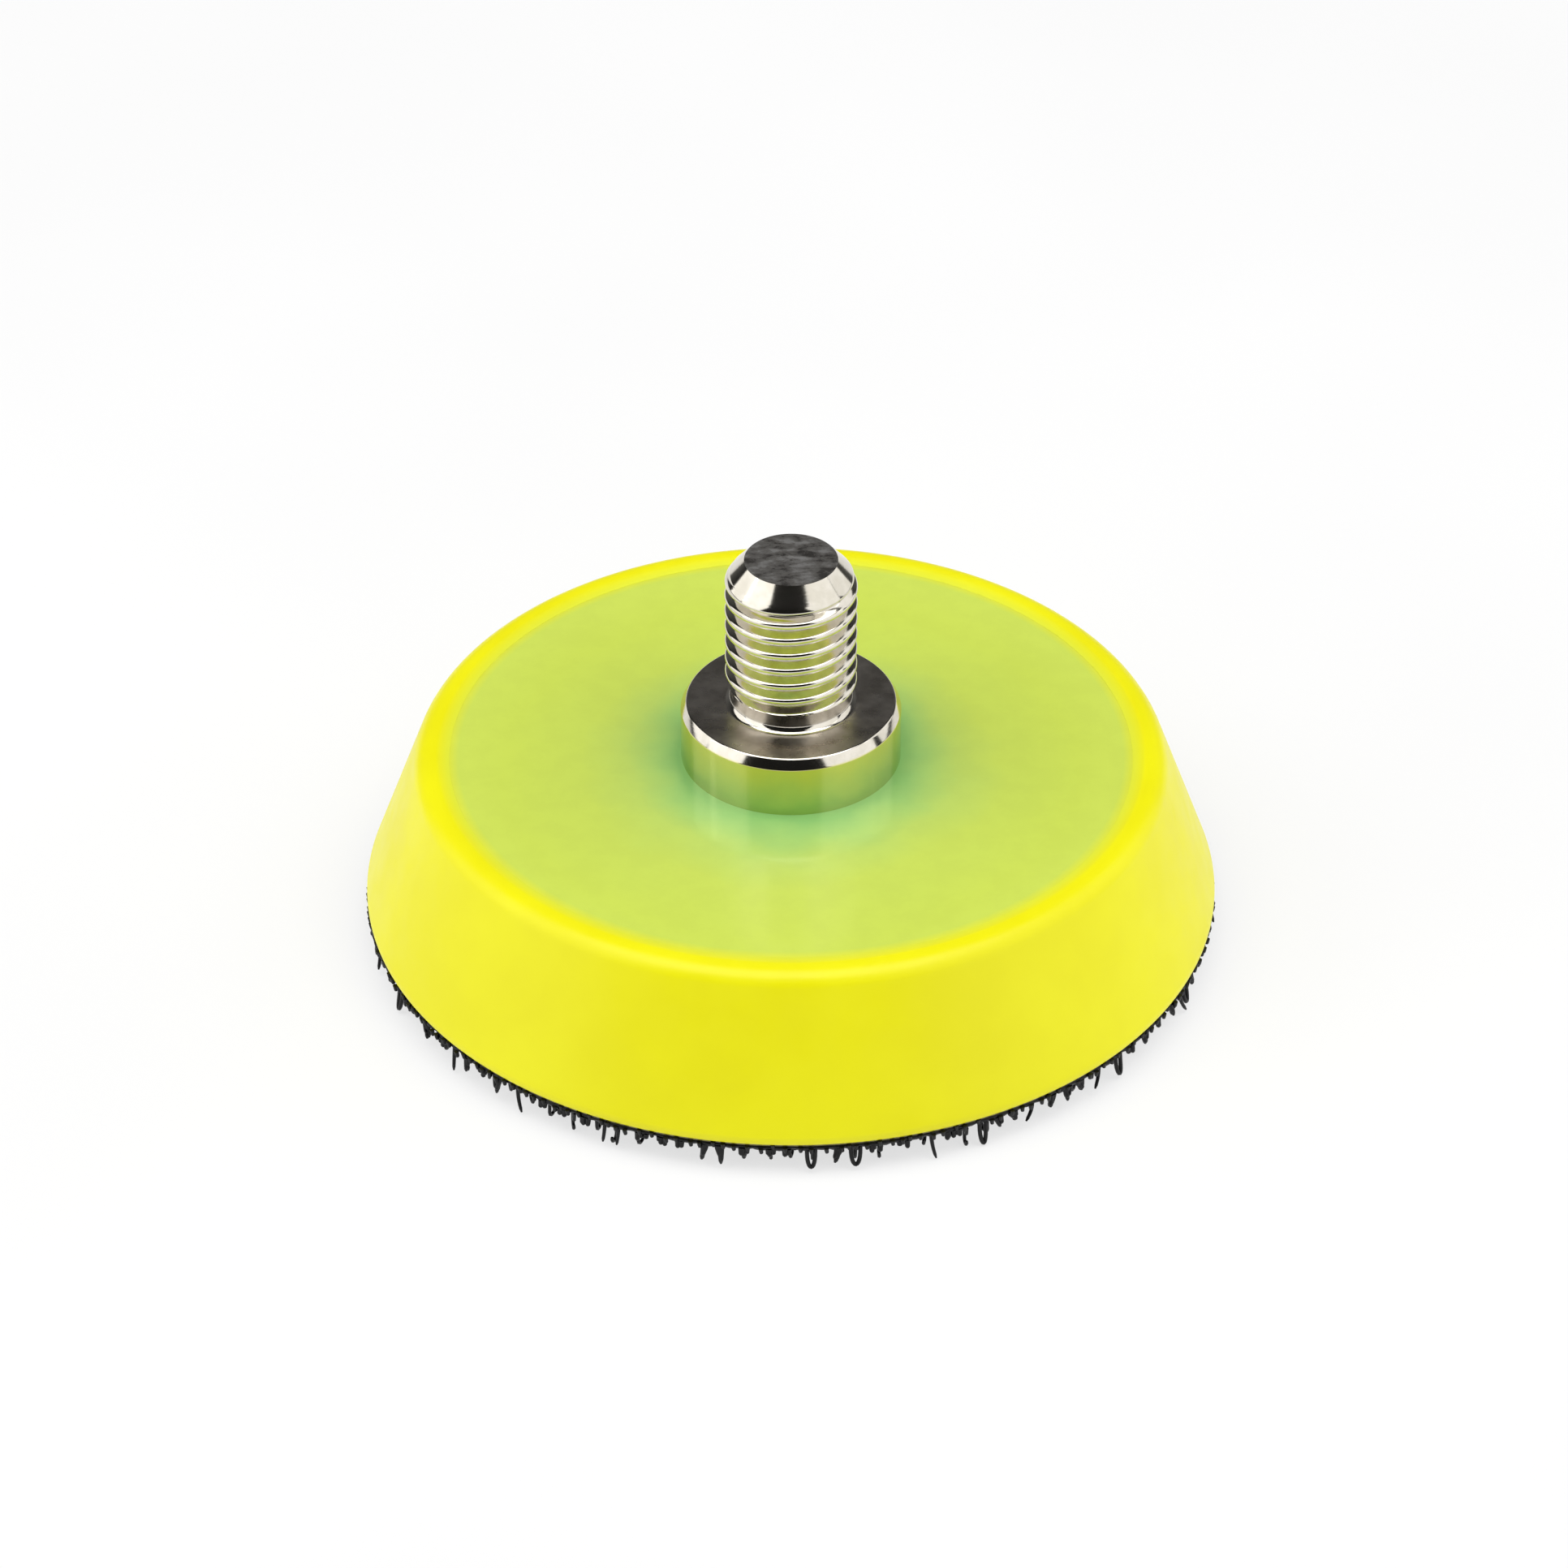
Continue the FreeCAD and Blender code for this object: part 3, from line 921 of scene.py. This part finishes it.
def make_camera():
    """Long lens, looking down at the pad from the front."""
    distance = 360.9
    elevation = math.radians(35.53)
    aim_height = 10.13
    tilt_down = math.radians(0.13)
    pan_left = math.radians(0.08)
    camera_data = bpy.data.cameras.new("camera")
    camera_data.lens = 139.75
    camera_data.sensor_width = 36
    camera_data.clip_start = 0.01
    camera_data.clip_end = 20
    camera = bpy.data.objects.new("camera", camera_data)
    camera.location = (
        0,
        -distance * MM * math.cos(elevation),
        (aim_height + distance * math.sin(elevation)) * MM,
    )
    camera.rotation_euler = (math.pi / 2 - elevation - tilt_down, 0, pan_left)
    bpy.context.scene.collection.objects.link(camera)
    bpy.context.scene.camera = camera


def face_pad(light):
    """Turn a light so that it shines on the pad."""
    pad_middle = Vector((0, 0, 10 * MM))
    light.rotation_euler = (pad_middle - light.location).to_track_quat("-Z", "Y").to_euler()


def place_round(azimuth, elevation, distance):
    """A place round the pad: azimuth 0 is in front, 90 to the right."""
    a, e = math.radians(azimuth), math.radians(elevation)
    return Vector((math.sin(a) * math.cos(e), -math.cos(a) * math.cos(e), math.sin(e))) * distance


def soft_light(name, azimuth, elevation, distance, size, brightness):
    """A flat panel that faces the pad, as bright as its brightness times white paper."""
    data = bpy.data.lights.new(name, "AREA")
    data.shape = "RECTANGLE"
    data.size, data.size_y = size
    data.energy = brightness * math.pi * size[0] * size[1]
    light = bpy.data.objects.new(name, data)
    light.location = place_round(azimuth, elevation, distance)
    bpy.context.scene.collection.objects.link(light)
    face_pad(light)
    return light


def make_lights():
    """A tent of panels that is open in front and at the back."""
    soft_light("top_panel", 0, 82, 0.60, (0.84, 0.45), 2.85)
    soft_light("front_left_panel", -69, 26, 0.62, (0.43, 0.58), 1.5)
    soft_light("left_panel", -104, 28, 0.62, (0.34, 0.54), 1.35)
    soft_light("front_right_panel", 64, 26, 0.62, (0.62, 0.58), 1.2)
    soft_light("right_panel", 113, 28, 0.62, (0.34, 0.54), 1.1)


def make_world():
    """A dark room, paler behind the pad, and white where the camera sees past the table."""
    world = bpy.data.worlds.new("room")
    world.use_nodes = True
    bpy.context.scene.world = world
    nodes, links = world.node_tree.nodes, world.node_tree.links
    room = nodes["Background"]
    room.inputs["Strength"].default_value = 1.0
    heading = nodes.new("ShaderNodeSeparateXYZ")
    links.new(nodes.new("ShaderNodeTexCoord").outputs["Generated"], heading.inputs[0])
    front_to_back = nodes.new("ShaderNodeMapRange")
    front_to_back.inputs["From Min"].default_value = 0.55
    front_to_back.inputs["From Max"].default_value = 0.85
    front_to_back.inputs["To Min"].default_value = 0.012
    front_to_back.inputs["To Max"].default_value = 0.12
    links.new(heading.outputs["Y"], front_to_back.inputs["Value"])
    links.new(front_to_back.outputs["Result"], room.inputs["Color"])
    seen = nodes.new("ShaderNodeBackground")
    seen.inputs["Color"].default_value = (1, 1, 1, 1)
    seen.inputs["Strength"].default_value = 1.0
    rays = nodes.new("ShaderNodeLightPath")
    mix = nodes.new("ShaderNodeMixShader")
    links.new(rays.outputs["Is Camera Ray"], mix.inputs[0])
    links.new(room.outputs[0], mix.inputs[1])
    links.new(seen.outputs[0], mix.inputs[2])
    links.new(mix.outputs[0], nodes["World Output"].inputs["Surface"])


bpy.context.scene.view_settings.view_transform = "Standard"
make_camera()
ground_material = nylon_ground()
hook_material = nylon_hooks()
make_stud(turned_steel())
make_pad_body(polyurethane())
make_hook_ground(ground_material)
make_tape_edge(hook_material)
make_hooks(hook_material)
make_fringe(hook_material)
dress_cad_nodes(
    {
        "stiffener_plate": glass_fibre(),
        "support_washer": zinc_plate(),
        "bond_film": adhesive(),
    }
)
make_floor(floor_paper())
make_lights()
make_world()
